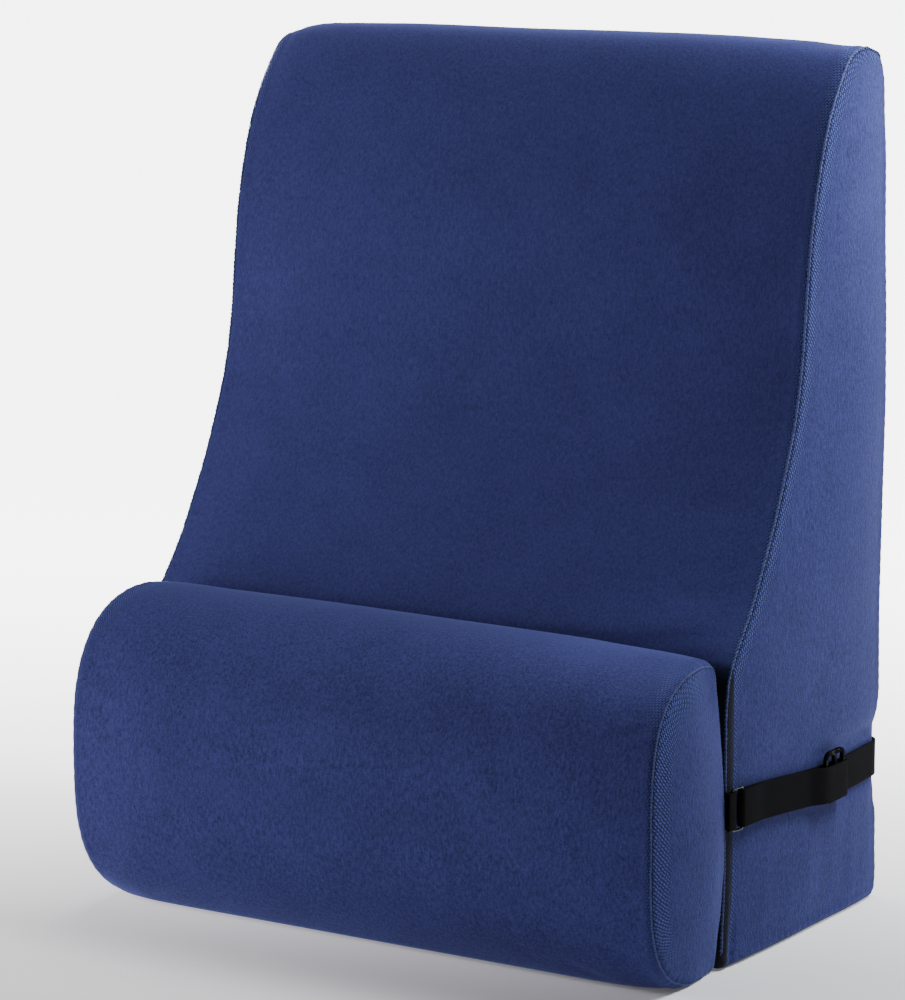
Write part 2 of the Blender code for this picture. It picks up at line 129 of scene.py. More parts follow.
# The webbing's centre line, from the working origin: x, y and height.
WEBBING_WIDTH = 0.0246
WEBBING_THICKNESS = 0.0015
STRAP_ROUTE = (
    (-0.18500, -0.00105, 0.0984), (-0.20992, -0.00105, 0.0984), (-0.21901, -0.00105, 0.0984),
    (-0.22493, -0.00005, 0.0984), (-0.22657, 0.00519, 0.0984), (-0.22729, 0.01287, 0.0984),
    (-0.22837, 0.02584, 0.0984), (-0.23006, 0.05179, 0.0984), (-0.23141, 0.09070, 0.0984),
    (-0.23133, 0.12962, 0.0984), (-0.22982, 0.16854, 0.0984), (-0.22803, 0.19448, 0.0984),
    (-0.22738, 0.20214, 0.0984), (-0.22550, 0.20952, 0.0984), (-0.22219, 0.21327, 0.0984),
    (-0.21872, 0.21576, 0.0984), (-0.21000, 0.21705, 0.0984), (-0.18000, 0.21705, 0.0984),
    (-0.13500, 0.21705, 0.0984), (-0.09000, 0.21705, 0.0984), (-0.04500, 0.21705, 0.0984),
    (0.00000, 0.21705, 0.0984), (0.04500, 0.21705, 0.0984), (0.09000, 0.21705, 0.0984),
    (0.13500, 0.21705, 0.0984), (0.18000, 0.21705, 0.0984), (0.21000, 0.21705, 0.0984),
    (0.21872, 0.21576, 0.0984), (0.22219, 0.21327, 0.0984), (0.22550, 0.20952, 0.0984),
    (0.22738, 0.20214, 0.0984), (0.22803, 0.19448, 0.0984), (0.22982, 0.16854, 0.0984),
    (0.23133, 0.12962, 0.09864), (0.23141, 0.09070, 0.10088), (0.23006, 0.05179, 0.10374),
    (0.22837, 0.02584, 0.10494), (0.22738, 0.01400, 0.1051), (0.22753, 0.01325, 0.1051),
    (0.22795, 0.01262, 0.1051), (0.22858, 0.01220, 0.1051), (0.22933, 0.01205, 0.1051),
    (0.23007, 0.01220, 0.1051), (0.23071, 0.01262, 0.1051), (0.23113, 0.01325, 0.1051),
    (0.23128, 0.01400, 0.1051), (0.23168, 0.02600, 0.10494), (0.23103, 0.03900, 0.10446),
    (0.23215, 0.06000, 0.10319), (0.23318, 0.09000, 0.10093), (0.23379, 0.10050, 0.10017),
    (0.23766, 0.11350, 0.09935), (0.23760, 0.13050, 0.09861), (0.23705, 0.14450, 0.0984),
    (0.23688, 0.14536, 0.0984), (0.23639, 0.14609, 0.0984), (0.23566, 0.14658, 0.0984),
    (0.23480, 0.14675, 0.0984), (0.23394, 0.14658, 0.0984), (0.23321, 0.14609, 0.0984),
    (0.23272, 0.14536, 0.0984), (0.23255, 0.14450, 0.0984), (0.23286, 0.13650, 0.09847),
)
TAB_ROUTE = (
    (0.18500, -0.00105, 0.1051), (0.20992, -0.00105, 0.1051), (0.21901, -0.00105, 0.1051),
    (0.22493, -0.00005, 0.1051), (0.22599, 0.00350, 0.1051), (0.22614, 0.00425, 0.1051),
    (0.22656, 0.00488, 0.1051), (0.22720, 0.00530, 0.1051), (0.22794, 0.00545, 0.1051),
    (0.22869, 0.00530, 0.1051), (0.22932, 0.00488, 0.1051), (0.22974, 0.00425, 0.1051),
    (0.22989, 0.00350, 0.1051), (0.22889, -0.00350, 0.1051),
)


# Small tools.

def linear(code):
    """An sRGB hex colour as linear RGBA."""
    channels = [int(code[i : i + 2], 16) / 255 for i in (1, 3, 5)]
    lit = [c / 12.92 if c <= 0.04045 else ((c + 0.055) / 1.055) ** 2.4 for c in channels]
    return (*lit, 1.0)


def add(tree, kind, values=None, links=None, **settings):
    """Adds one node to a material, with its settings, its sockets' values and the links into it."""
    node = tree.nodes.new(kind)
    for name, value in settings.items():
        setattr(node, name, value)
    for socket, value in (values or {}).items():
        node.inputs[socket].default_value = value
    for socket, source in (links or {}).items():
        tree.links.new(source, node.inputs[socket])
    return node


def smooth(value, low, high):
    """0 below low, 1 above high, eased between them; works on arrays."""
    share = np.clip((value - low) / (high - low), 0.0, 1.0)
    return share * share * (3.0 - 2.0 * share)


def make_active(piece):
    bpy.ops.object.select_all(action="DESELECT")
    piece.select_set(True)
    bpy.context.view_layer.objects.active = piece


def read_points(mesh):
    points = np.empty(len(mesh.vertices) * 3)
    mesh.vertices.foreach_get("co", points)
    return points.reshape(-1, 3)


def write_points(mesh, points):
    mesh.vertices.foreach_set("co", points.ravel())
    mesh.update()


def read_normals(mesh):
    normals = np.empty(len(mesh.vertices) * 3, dtype=np.float32)
    mesh.vertex_normals.foreach_get("vector", normals)
    return normals.reshape(-1, 3).astype(float)


def merged_copy(node, name):
    """A CAD node's mesh as a new object, with its loose triangles merged."""
    piece = bpy.data.objects.new(name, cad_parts[node].data.copy())
    bpy.context.scene.collection.objects.link(piece)
    piece.data.materials.clear()
    bm = bmesh.new()
    bm.from_mesh(piece.data)
    bmesh.ops.remove_doubles(bm, verts=bm.verts, dist=0.00001)
    bm.to_mesh(piece.data)
    bm.free()
    return piece


def finish_piece(piece, material, node=None):
    piece.data.materials.clear()
    piece.data.materials.append(material)
    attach(piece, "root")
    if node:
        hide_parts(node)


# Seam lines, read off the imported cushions.

def outline_at(mesh, x):
    """The closed outline of a mesh cut at x, in order, as an array of points."""
    bm = bmesh.new()
    bm.from_mesh(mesh)
    everything = bm.verts[:] + bm.edges[:] + bm.faces[:]
    cut = bmesh.ops.bisect_plane(bm, geom=everything, plane_co=(x, 0, 0), plane_no=(1, 0, 0))
    edges = [item for item in cut["geom_cut"] if isinstance(item, bmesh.types.BMEdge)]
    neighbours = {}
    for edge in edges:
        a, b = edge.verts
        neighbours.setdefault(a, []).append(b)
        neighbours.setdefault(b, []).append(a)
    start = min(neighbours, key=lambda vert: (vert.co.z, vert.co.y))
    line = [start]
    before = None
    here = start
    while True:
        options = [vert for vert in neighbours[here] if vert is not before]
        before, here = here, options[0]
        if here is start or len(line) > len(neighbours):
            break
        line.append(here)
    points = np.array([vert.co[:] for vert in line])
    bm.free()
    area = np.sum(points[:, 1] * np.roll(points[:, 2], -1) - np.roll(points[:, 1], -1) * points[:, 2])
    return points if area > 0 else points[::-1]


def resample(points, step, closed):
    """Points at even steps along a polyline."""
    line = np.vstack([points, points[:1]]) if closed else np.asarray(points, dtype=float)
    lengths = np.linalg.norm(np.diff(line, axis=0), axis=1)
    run = np.concatenate([[0.0], np.cumsum(lengths)])
    count = max(int(round(run[-1] / step)), 2)
    stations = np.linspace(0.0, run[-1], count + 1)
    if closed:
        stations = stations[:-1]
    return np.column_stack([np.interp(stations, run, line[:, axis]) for axis in range(3)])


def soften(points, rounds, closed):
    """Evens out a polyline; an open one keeps its ends."""
    line = points.copy()
    for _ in range(rounds):
        moved = (np.roll(line, 1, axis=0) + 2.0 * line + np.roll(line, -1, axis=0)) / 4.0
        if not closed:
            moved[0], moved[-1] = line[0], line[-1]
        line = moved
    return line


def corner_line(tree, outline, x, side, offset):
    """Where the rounded edge between an end panel and the wrap lies: the surface's nearest points
    to a line held off that edge."""
    even = resample(outline, 0.002, True)
    along = np.roll(even, -1, axis=0) - np.roll(even, 1, axis=0)
    out = np.column_stack([np.zeros(len(even)), along[:, 2], -along[:, 1]])
    out /= np.linalg.norm(out, axis=1)[:, None]
    held_off = even + out * offset
    held_off[:, 0] = x + side * offset
    found = [tree.find_nearest(Vector(point))[0] for point in held_off]
    return resample(soften(np.array([point[:] for point in found]), 3, True), SEAM_STEP, True)


def tree_of(piece):
    bm = bmesh.new()
    bm.from_mesh(piece.data)
    tree = bvhtree.BVHTree.FromBMesh(bm)
    bm.free()
    return tree


def nearest_on(lines, points):
    """For each point, its distance to the nearest seam line, how far along that line it lies,
    and the place there."""
    stations = np.vstack(lines)
    runs = np.concatenate([np.arange(len(line)) * SEAM_STEP for line in lines])
    ways = np.vstack([np.gradient(line, axis=0) for line in lines])
    ways /= np.linalg.norm(ways, axis=1)[:, None]
    finder = kdtree.KDTree(len(stations))
    for i, station in enumerate(stations):
        finder.insert(station, i)
    finder.balance()
    nearest = np.array([finder.find(point)[1] for point in points])
    offsets = points - stations[nearest]
    past = np.sum(offsets * ways[nearest], axis=1)
    past = np.clip(past, -0.6 * SEAM_STEP, 0.6 * SEAM_STEP)
    places = stations[nearest] + ways[nearest] * past[:, None]
    return np.linalg.norm(points - places, axis=1), runs[nearest] + past, places


# Cushions.

def remeshed(piece, voxel):
    make_active(piece)
    remesh = piece.modifiers.new("remesh", "REMESH")
    remesh.mode = "VOXEL"
    remesh.voxel_size = voxel
    bpy.ops.object.modifier_apply(modifier=remesh.name)


def evened(piece, free, rounds):
    """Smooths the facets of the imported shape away, where free is 1."""
    group = piece.vertex_groups.new(name="free")
    for i, weight in enumerate(free):
        if weight > 0.01:
            group.add([i], float(weight), "REPLACE")
    make_active(piece)
    smoothing = piece.modifiers.new("evened", "SMOOTH")
    smoothing.factor = 0.5
    smoothing.iterations = rounds
    smoothing.vertex_group = "free"
    bpy.ops.object.modifier_apply(modifier=smoothing.name)
    piece.vertex_groups.clear()


def blown_up(piece, held, reach):
    """Runs the cover as cloth under pressure, caps each point's move and keeps the result in the mesh."""
    start = read_points(piece.data)
    group = piece.vertex_groups.new(name="held")
    for i, weight in enumerate(held):
        if weight > 0.01:
            group.add([i], float(weight), "REPLACE")
    cloth = piece.modifiers.new("cover", "CLOTH")
    cloth.settings.quality = 4
    cloth.settings.mass = 0.3
    cloth.settings.tension_stiffness = 25
    cloth.settings.compression_stiffness = 8
    cloth.settings.bending_stiffness = 1.5
    cloth.settings.use_pressure = True
    cloth.settings.uniform_pressure_force = PRESSURE
    cloth.settings.vertex_group_mass = "held"
    cloth.settings.effector_weights.gravity = 0
    cloth.collision_settings.use_collision = False
    cloth.point_cache.frame_end = CLOTH_FRAMES
    for step in range(1, CLOTH_FRAMES + 1):
        bpy.context.scene.frame_set(step)
    graph = bpy.context.evaluated_depsgraph_get()
    swollen = read_points(piece.evaluated_get(graph).data)
    piece.modifiers.remove(cloth)
    piece.vertex_groups.clear()
    bpy.context.scene.frame_set(1)
    move = swollen - start
    length = np.linalg.norm(move, axis=1)
    capped = move * (np.minimum(length, reach) / np.maximum(length, 1e-9))[:, None]
    write_points(piece.data, start + capped)


def subdivided(piece):
    make_active(piece)
    finer = piece.modifiers.new("finer", "SUBSURF")
    finer.levels = 1
    finer.render_levels = 1
    bpy.ops.object.modifier_apply(modifier=finer.name)
    piece.data.shade_smooth()


def divided_by_seams(piece, lines, reach):
    """Divides the faces beside the seams once more, so that the edges there come out crisp."""
    mesh = piece.data
    close = nearest_on(lines, read_points(mesh))[0] < reach
    corners = np.empty(len(mesh.loops), dtype=np.int32)
    mesh.loops.foreach_get("vertex_index", corners)
    chosen = close[corners.reshape(-1, 4)].all(axis=1)
    make_active(piece)
    bpy.context.tool_settings.mesh_select_mode = (False, False, True)
    bpy.ops.object.mode_set(mode="EDIT")
    bpy.ops.mesh.select_all(action="DESELECT")
    bpy.ops.object.mode_set(mode="OBJECT")
    mesh.polygons.foreach_set("select", chosen)
    bpy.ops.object.mode_set(mode="EDIT")
    bpy.ops.mesh.subdivide(number_cuts=1)
    bpy.ops.object.mode_set(mode="OBJECT")


def fitted_to_seams(piece, tree, lines, snap):
    """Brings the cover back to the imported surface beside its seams, and its nearest points onto them."""
    points = read_points(piece.data)
    distance, _, places = nearest_on(lines, points)
    pull = 1.0 - smooth(distance, 0.004, 0.010)
    at_front = points[:, 1] < points[:, 1].max() - 0.03
    for i in np.nonzero(pull > 0.01)[0]:
        if distance[i] < snap and at_front[i]:
            points[i] = places[i]
        else:
            found = tree.find_nearest(Vector(points[i]))[0]
            points[i] += (np.array(found[:]) - points[i]) * pull[i]
    write_points(piece.data, points)


def uneven(points, scale, seed):
    """Smooth noise from -1 to 1 at each point; scale gives the waves in a metre along x, y and z."""
    shift = Vector((seed * 3.1, seed * 1.7, seed * 2.3))
    spread = points * np.array(scale)
    return np.array([noise.noise(Vector(point) + shift) for point in spread])


def store(mesh, panel, knit):
    """Keeps where each point lies on its panel, and how far the seams pull the knitted ground open there."""
    layer = mesh.attributes.new("panel", "FLOAT_VECTOR", "POINT")
    layer.data.foreach_set("vector", np.column_stack(panel).astype(np.float32).ravel())
    layer = mesh.attributes.new("knit", "FLOAT", "POINT")
    layer.data.foreach_set("value", knit.astype(np.float32))


wedge_source = merged_copy("wedge_cushion", "wedge_source")
wedge_tree = tree_of(wedge_source)
wedge_outline = outline_at(wedge_source.data, FOOT.x + WEDGE_SEAM_X - WEDGE_INSET)
wedge_side_seams = []
for side in (1, -1):
    seam_x = FOOT.x + side * WEDGE_SEAM_X
    wedge_side_seams.append(corner_line(wedge_tree, wedge_outline, seam_x, side, WEDGE_CORNER))

# The seams across the width: at the back's top, at its foot, and along the foot of the front.
wedge_cross_seams = []
for probe_height in (TOP_BACK_EDGE, -0.02):
    across = []
    for share in np.linspace(-1.0, 1.0, 61):
        x = FOOT.x + share * (WEDGE_SEAM_X - 0.003)
        probe = Vector((x, WEDGE_HIGH.y + 0.02, probe_height))
        across.append(wedge_tree.find_nearest(probe)[0][:])
    wedge_cross_seams.append(resample(np.array(across), SEAM_STEP, False))
front_foot = np.array([(FOOT.x + end * WEDGE_SEAM_X, FOOT.y + 0.001, 0.001) for end in (-1, 1)])
wedge_cross_seams.append(resample(front_foot, SEAM_STEP, False))


def kept_under(points, tree, weight, depth):
    """Pulls points to lie at least depth inside a surface, as far as weight says."""
    for i in np.nonzero(weight > 0.01)[0]:
        found, normal, _, _ = tree.find_nearest(Vector(points[i]))
        above = (Vector(points[i]) - found).dot(normal) + depth
        if above > 0.0:
            points[i] -= np.array(normal[:]) * above * weight[i]


def belt_weight(points):
    """1 where the strap presses on the wedge, 0 above and below it."""
    over_low = smooth(points[:, 2], BELT_LOW - BELT_EASE, BELT_LOW)
    over_high = smooth(points[:, 2], BELT_HIGH, BELT_HIGH + BELT_EASE)
    return over_low * (1.0 - over_high)


def wedge_fuller(points):
    """The wedge's points where the real filling stands fuller: along the back edges and the top's ends."""
    fuller = points.copy()
    x = points[:, 0] - FOOT.x
    height = points[:, 2]
    back = smooth(points[:, 1], WEDGE_HIGH.y - 0.10, WEDGE_HIGH.y - 0.02)
    side = smooth(np.abs(x), 0.195, 0.222)
    fuller[:, 0] += np.sign(x) * side * back * np.interp(height, BACK_EDGE_HEIGHTS, BACK_EDGE_FULLER)
    fuller[:, 0] += 0.0018 * smooth(-x, 0.19, 0.22) * smooth(height, 0.52, 0.56) * (1.0 - back)
    fuller[:, 2] += smooth(height, 0.50, 0.56) * np.interp(x, TOP_PLACES, TOP_FULLER)
    return fuller


def bolster_fuller(points):
    """The bolster's points, drawn in at the top of the right end and fuller at the left end."""
    eased = points.copy()
    x = points[:, 0] - FOOT.x
    height = points[:, 2]
    rear = smooth(points[:, 1], BOLSTER_HIGH.y - 0.05, BOLSTER_HIGH.y - 0.01)
    eased[:, 0] -= 0.0028 * smooth(x, 0.20, 0.226) * rear * smooth(height, 0.08, 0.17)
    eased[:, 2] -= 0.0042 * smooth(x, 0.210, 0.2265) * rear * smooth(height, 0.17, 0.20)
    eased[:, 2] += 0.0012 * smooth(-x, 0.14, 0.21) * smooth(height, 0.12, 0.20)
    return eased


def build_wedge_cover():
    piece = merged_copy("wedge_cushion", "wedge_cover")
    remeshed(piece, WEDGE_VOXEL)
    points = read_points(piece.data)
    distance, _, _ = nearest_on(wedge_side_seams + wedge_cross_seams, points)
    evened(piece, smooth(distance, 0.004, 0.016), 14)
    low_front = 1.0 - smooth(points[:, 1], FOOT.y + 0.004, FOOT.y + 0.02)
    low_front *= 1.0 - smooth(points[:, 2], 0.17, 0.22)
    foot = 1.0 - smooth(points[:, 2], 0.001, 0.006)
    top = smooth(points[:, 2], 0.52, 0.56)
    seams = 1.0 - smooth(distance, 0.003, 0.010)
    held = np.maximum.reduce([seams, low_front, foot, 0.7 * top, belt_weight(points)])
    blown_up(piece, held, WEDGE_REACH)
    subdivided(piece)
    divided_by_seams(piece, wedge_side_seams + wedge_cross_seams, 0.010)
    fitted_to_seams(piece, wedge_tree, wedge_side_seams + wedge_cross_seams, 0.0006)

    points = read_points(piece.data)
    normals = read_normals(piece.data)
    side_distance, run, places = nearest_on(wedge_side_seams, points)
    back_distance, _, _ = nearest_on(wedge_cross_seams, points)
    on_side = np.abs(normals[:, 0]) > 0.7071
    on_back = ((normals[:, 1] > 0.7071) | (normals[:, 2] < -0.7071)) & ~on_side
    signed_side = np.where(on_side, side_distance, -side_distance)
    border = np.where(on_back | on_side, np.minimum(side_distance, back_distance), back_distance)
    signed_back = np.where(on_back, border, -border)
    clear = smooth(np.minimum(side_distance, back_distance), 0.002, 0.020)
    height = points[:, 2]
    side_panel = smooth(np.abs(normals[:, 0]), 0.6, 0.9)

    shift = 0.0006 * clear * uneven(points, (11, 14, 9), 1)
    folds = uneven(points, (20, 62, 8), 2) + 0.5 * uneven(points, (20, 110, 14), 3)
    shift += side_panel * clear * folds * (0.00008 + 0.00025 * (1.0 - smooth(height, 0.02, 0.11)))
    crease = np.exp(-(((points[:, 1] - FOOT.y - CREASE_BEHIND) / CREASE_WIDTH) ** 2))
    shift -= 0.0011 * side_panel * crease * (1.0 - smooth(height, 0.010, 0.040))
    wander = 260.0 * side_distance + 2.0 * uneven(points, (25, 25, 25), 5)
    pucker = np.sin(2 * math.pi * run / WEDGE_PUCKER + wander)
    shift += 0.00018 * pucker * np.where(on_side, 1.0, 0.35) * np.exp(-side_distance / 0.0055)
    shift *= 1.0 - 0.8 * (1.0 - smooth(height, 0.0, 0.004))
    foot_distance = points[:, 1] - FOOT.y
    points = wedge_fuller(points + normals * shift[:, None])
    kept_under(points, wedge_tree, belt_weight(points), 0.0004)
    points[:, 2] = np.maximum(points[:, 2], 0.0)
    write_points(piece.data, points)
    at_back = smooth(places[:, 1], WEDGE_HIGH.y - 0.040, WEDGE_HIGH.y - 0.015)
    evened(piece, at_back * (1.0 - smooth(side_distance, 0.004, 0.012)) * smooth(height, 0.002, 0.006), 4)
    # The front seam is the one that pulls; more of the front shows it towards the top.
    near_top = smooth(height, 0.46, 0.53)
    on_front = 1.0 - smooth(side_distance, 0.0015 + 0.002 * near_top, 0.0050 + 0.006 * near_top)
    knit = np.where(on_side, 1.0 - smooth(side_distance, 0.004, 0.016), 0.7 * on_front)
    knit *= smooth(places[:, 2], 0.004, 0.02)
    knit *= 1.0 - smooth(places[:, 1], WEDGE_HIGH.y - 0.03, WEDGE_HIGH.y - 0.01)
    # Painted shade: black on the lower front hidden behind the bolster, for the shade in the gap there.
    painted_gap_shade = np.minimum(0.06 * (PAINTED_SHADE_TOP - height), PAINTED_SHADE_WRAP - foot_distance)
    # At the top and the foot the black back cloth also comes a little round the corner.
    corner = smooth(height, 0.540, 0.555) + 1.0 - smooth(height, 0.012, 0.030)
    rearmost = WEDGE_HIGH.y - 0.010 - 0.022 * smooth(height, 0.535, 0.570)
    around = smooth(points[:, 1] - rearmost, 0.0, 0.004)
    signed_back = np.maximum(signed_back + 0.0024 * corner * around, painted_gap_shade)
    knit *= 1.0 - 0.8 * smooth(painted_gap_shade, -0.0004, 0.0004)
    store(piece.data, (run, signed_side, signed_back), knit)
    return piece


def build_bolster_cover():
    piece = merged_copy("bolster_cushion", "bolster_cover")
    remeshed(piece, BOLSTER_VOXEL)
    points = read_points(piece.data)
    distance, _, _ = nearest_on(bolster_seams, points)
    evened(piece, smooth(distance, 0.003, 0.012), 10)
    back = smooth(points[:, 1], BOLSTER_HIGH.y - 0.012, BOLSTER_HIGH.y - 0.006)
    foot = 1.0 - smooth(points[:, 2], 0.001, 0.006)
    seams = 1.0 - smooth(distance, 0.003, 0.010)
    blown_up(piece, np.maximum.reduce([seams, back, foot]), BOLSTER_REACH)
    subdivided(piece)
    divided_by_seams(piece, bolster_seams, 0.008)
    fitted_to_seams(piece, bolster_tree, bolster_seams, 0.0005)

    points = read_points(piece.data)
    normals = read_normals(piece.data)
    distance, run, _ = nearest_on(bolster_seams, points)
    middle = FOOT.x + BOLSTER_MIDDLE_X
    on_end = (np.abs(normals[:, 0]) > 0.62) & (np.abs(points[:, 0] - middle) > BOLSTER_SEAM_X - 0.02)
    signed = np.where(on_end, distance, -distance)
    clear = smooth(distance, 0.002, 0.020)
    shift = 0.0007 * clear * uneven(points, (9, 12, 12), 11)
    shift -= 0.0008 * np.exp(-((distance / 0.0022) ** 2))
    pucker = np.sin(2 * math.pi * run / BOLSTER_PUCKER + 3.0 * uneven(points, (20, 20, 20), 12))
    shift += 0.00015 * pucker * np.exp(-distance / 0.006)
    shift *= smooth(points[:, 2], 0.0, 0.004)
    shift *= 1.0 - smooth(points[:, 1], BOLSTER_HIGH.y - 0.010, BOLSTER_HIGH.y - 0.002)
    height = points[:, 2].copy()
    back = points[:, 1].copy()
    points = bolster_fuller(points + normals * shift[:, None])
    points[:, 1] = np.minimum(points[:, 1], BOLSTER_HIGH.y + 0.0001)
    points[:, 2] = np.maximum(points[:, 2], 0.0)
    write_points(piece.data, points)
    near_top = smooth(height, 0.16, 0.20)
    on_wrap = 1.0 - smooth(distance, 0.002 + 0.006 * near_top, 0.006 + 0.016 * near_top)
    knit = np.where(on_end, 1.0 - smooth(distance, 0.010, 0.024), 0.6 * on_wrap)
    knit *= 1.0 - smooth(back, BOLSTER_HIGH.y - 0.035, BOLSTER_HIGH.y - 0.010)
    knit *= 0.1 + 0.9 * smooth(height, 0.015, 0.055)
    store(piece.data, (run, signed, -np.ones(len(points))), knit)
    return piece


bolster_source = merged_copy("bolster_cushion", "bolster_source")
bolster_tree = tree_of(bolster_source)
bolster_seams = []
for side in (1, -1):
    seam_x = FOOT.x + BOLSTER_MIDDLE_X + side * BOLSTER_SEAM_X
    inside = outline_at(bolster_source.data, seam_x - side * BOLSTER_CORNER)
    bolster_seams.append(corner_line(bolster_tree, inside, seam_x, side, BOLSTER_CORNER))


# Materials.

def velour(name, ground, pile, tip, crease, front_brushing):
    """Knitted velour, cut pile on a jersey ground: fine upright ribs where the pile parts, a soft bloom
    at grazing angles, and the ground's slanting stitches showing where a seam stretches the cloth."""
    material = bpy.data.materials.new(name)
    material.use_nodes = True
    tree = material.node_tree
    shader = tree.nodes["Principled BSDF"]
    place = add(tree, "ShaderNodeTexCoord")
    # Ribs 1.6 mm apart and about 4 mm long, then pile tufts of 1 mm, then hand-brushed patches of 40 mm.
    upright = add(tree, "ShaderNodeMapping", {"Scale": (620, 620, 260)}, {"Vector": place.outputs["Object"]})
    ribs = add(tree, "ShaderNodeTexNoise", {"Scale": 1.0, "Detail": 2.0}, {"Vector": upright.outputs[0]})
    tufts = add(
        tree, "ShaderNodeTexNoise", {"Scale": 900.0, "Detail": 1.0}, {"Vector": place.outputs["Object"]}
    )
    patches = add(
        tree, "ShaderNodeTexNoise", {"Scale": 26.0, "Detail": 3.0}, {"Vector": place.outputs["Object"]}
    )
    ribs_part = add(tree, "ShaderNodeMath", {1: 0.46}, {0: ribs.outputs[0]}, operation="MULTIPLY")
    tufts_part = add(
        tree,
        "ShaderNodeMath",
        {1: 0.40},
        {0: tufts.outputs[0], 2: ribs_part.outputs[0]},
        operation="MULTIPLY_ADD",
    )
    brushed = add(
        tree,
        "ShaderNodeMath",
        {1: 0.14},
        {0: patches.outputs[0], 2: tufts_part.outputs[0]},
        operation="MULTIPLY_ADD",
    )
    # The side panels are brushed rougher than the front and the top.
    panel = add(tree, "ShaderNodeAttribute", attribute_name="panel")
    parts = add(tree, "ShaderNodeSeparateXYZ", None, {0: panel.outputs["Vector"]})
    rougher = add(
        tree,
        "ShaderNodeMapRange",
        {"From Min": -0.002, "From Max": 0.002, "To Min": front_brushing, "To Max": 1.2},
        {"Value": parts.outputs[1]},
    )
    nap = add(
        tree, "ShaderNodeMix", {2: 0.5}, {0: rougher.outputs[0], 3: brushed.outputs[0]}, data_type="FLOAT"
    )
    spread = add(tree, "ShaderNodeMapRange", {"From Min": 0.36, "From Max": 0.64}, {"Value": nap.outputs[0]})
    body = add(
        tree, "ShaderNodeMix", {6: linear(ground), 7: linear(pile)}, {0: spread.outputs[0]}, data_type="RGBA"
    )

    # Away from the seam on either panel; the side panel's stitches are drawn out longer.
    mirrored = add(tree, "ShaderNodeMath", {1: -1.0}, {0: parts.outputs[1]}, operation="MULTIPLY")
    drawn_out = add(tree, "ShaderNodeMath", {1: 0.6}, {0: parts.outputs[1]}, operation="MULTIPLY")
    away = add(
        tree, "ShaderNodeMath", None, {0: mirrored.outputs[0], 1: drawn_out.outputs[0]}, operation="MAXIMUM"
    )
    knit = add(tree, "ShaderNodeAttribute", attribute_name="knit")
    # Stitches 1.6 mm apart, slanting away from the seam on both sides of it, a little unevenly.
    flat = add(tree, "ShaderNodeCombineXYZ", None, {0: parts.outputs[0], 1: away.outputs[0]})
    drift = add(
        tree, "ShaderNodeTexNoise", {"Scale": 220.0, "Detail": 1.0}, {"Vector": place.outputs["Object"]}
    )
    uneven_flat = add(
        tree,
        "ShaderNodeVectorMath",
        {1: (0.0013, 0.0013, 0.0)},
        {0: drift.outputs["Color"], 2: flat.outputs[0]},
        operation="MULTIPLY_ADD",
    )
    slanted = add(
        tree,
        "ShaderNodeMapping",
        {"Rotation": (0, 0, math.radians(-32)), "Scale": (1 / STITCH, 1 / STITCH, 1)},
        {"Vector": uneven_flat.outputs[0]},
    )
    stitches = add(
        tree,
        "ShaderNodeTexBrick",
        {"Scale": 1.0, "Mortar Size": 0.46, "Mortar Smooth": 1.0, "Brick Width": 1.7, "Row Height": 1.0},
        {"Vector": slanted.outputs[0]},
    )
    dashes = add(tree, "ShaderNodeMath", {0: 1.0}, {1: stitches.outputs["Fac"]}, operation="SUBTRACT")
    shown = add(
        tree, "ShaderNodeMath", None, {0: dashes.outputs[0], 1: knit.outputs["Fac"]}, operation="MULTIPLY"
    )
    # The pile parts over the whole band, down to the ground, and each stitch stands up out of it.
    parted = add(tree, "ShaderNodeMath", {1: 0.7}, {0: knit.outputs["Fac"]}, operation="MULTIPLY")
    bare = add(
        tree,
        "ShaderNodeMix",
        {7: linear("#080B1C")},
        {0: parted.outputs[0], 6: body.outputs[2]},
        data_type="RGBA",
    )
    lit = add(
        tree, "ShaderNodeMix", {7: linear(tip)}, {0: shown.outputs[0], 6: bare.outputs[2]}, data_type="RGBA"
    )
    # Painted shade: a narrow dark line where the side panel dips beside the seam.
    off_crease = add(tree, "ShaderNodeMath", {1: crease}, {0: parts.outputs[1]}, operation="SUBTRACT")
    from_crease = add(tree, "ShaderNodeMath", None, {0: off_crease.outputs[0]}, operation="ABSOLUTE")
    painted_crease_shade = add(
        tree,
        "ShaderNodeMapRange",
        {"From Min": 0.0003, "From Max": 0.0014, "To Min": 0.6, "To Max": 0.0},
        {"Value": from_crease.outputs[0]},
    )
    crease_shade_share = add(
        tree, "ShaderNodeMath", None, {0: painted_crease_shade.outputs[0], 1: knit.outputs["Fac"]}, operation="MULTIPLY"
    )
    # The painted crease shade, near black, mixed into the cloth's colour.
    sunk = add(
        tree,
        "ShaderNodeMix",
        {7: linear("#05070F")},
        {0: crease_shade_share.outputs[0], 6: lit.outputs[2]},
        data_type="RGBA",
    )
    # The back and the base are plain black cloth. The hidden lower front takes the same black as painted
    # shade for the gap behind the bolster.
    back_cloth_and_painted_shade = add(
        tree,
        "ShaderNodeMapRange",
        {"From Min": -0.0004, "From Max": 0.0004},
        {"Value": parts.outputs[2]},
    )
    cloth = add(
        tree,
        "ShaderNodeMix",
        {7: linear("#17181C")},
        {0: back_cloth_and_painted_shade.outputs[0], 6: sunk.outputs[2]},
        data_type="RGBA",
    )
    tree.links.new(cloth.outputs[2], shader.inputs["Base Color"])

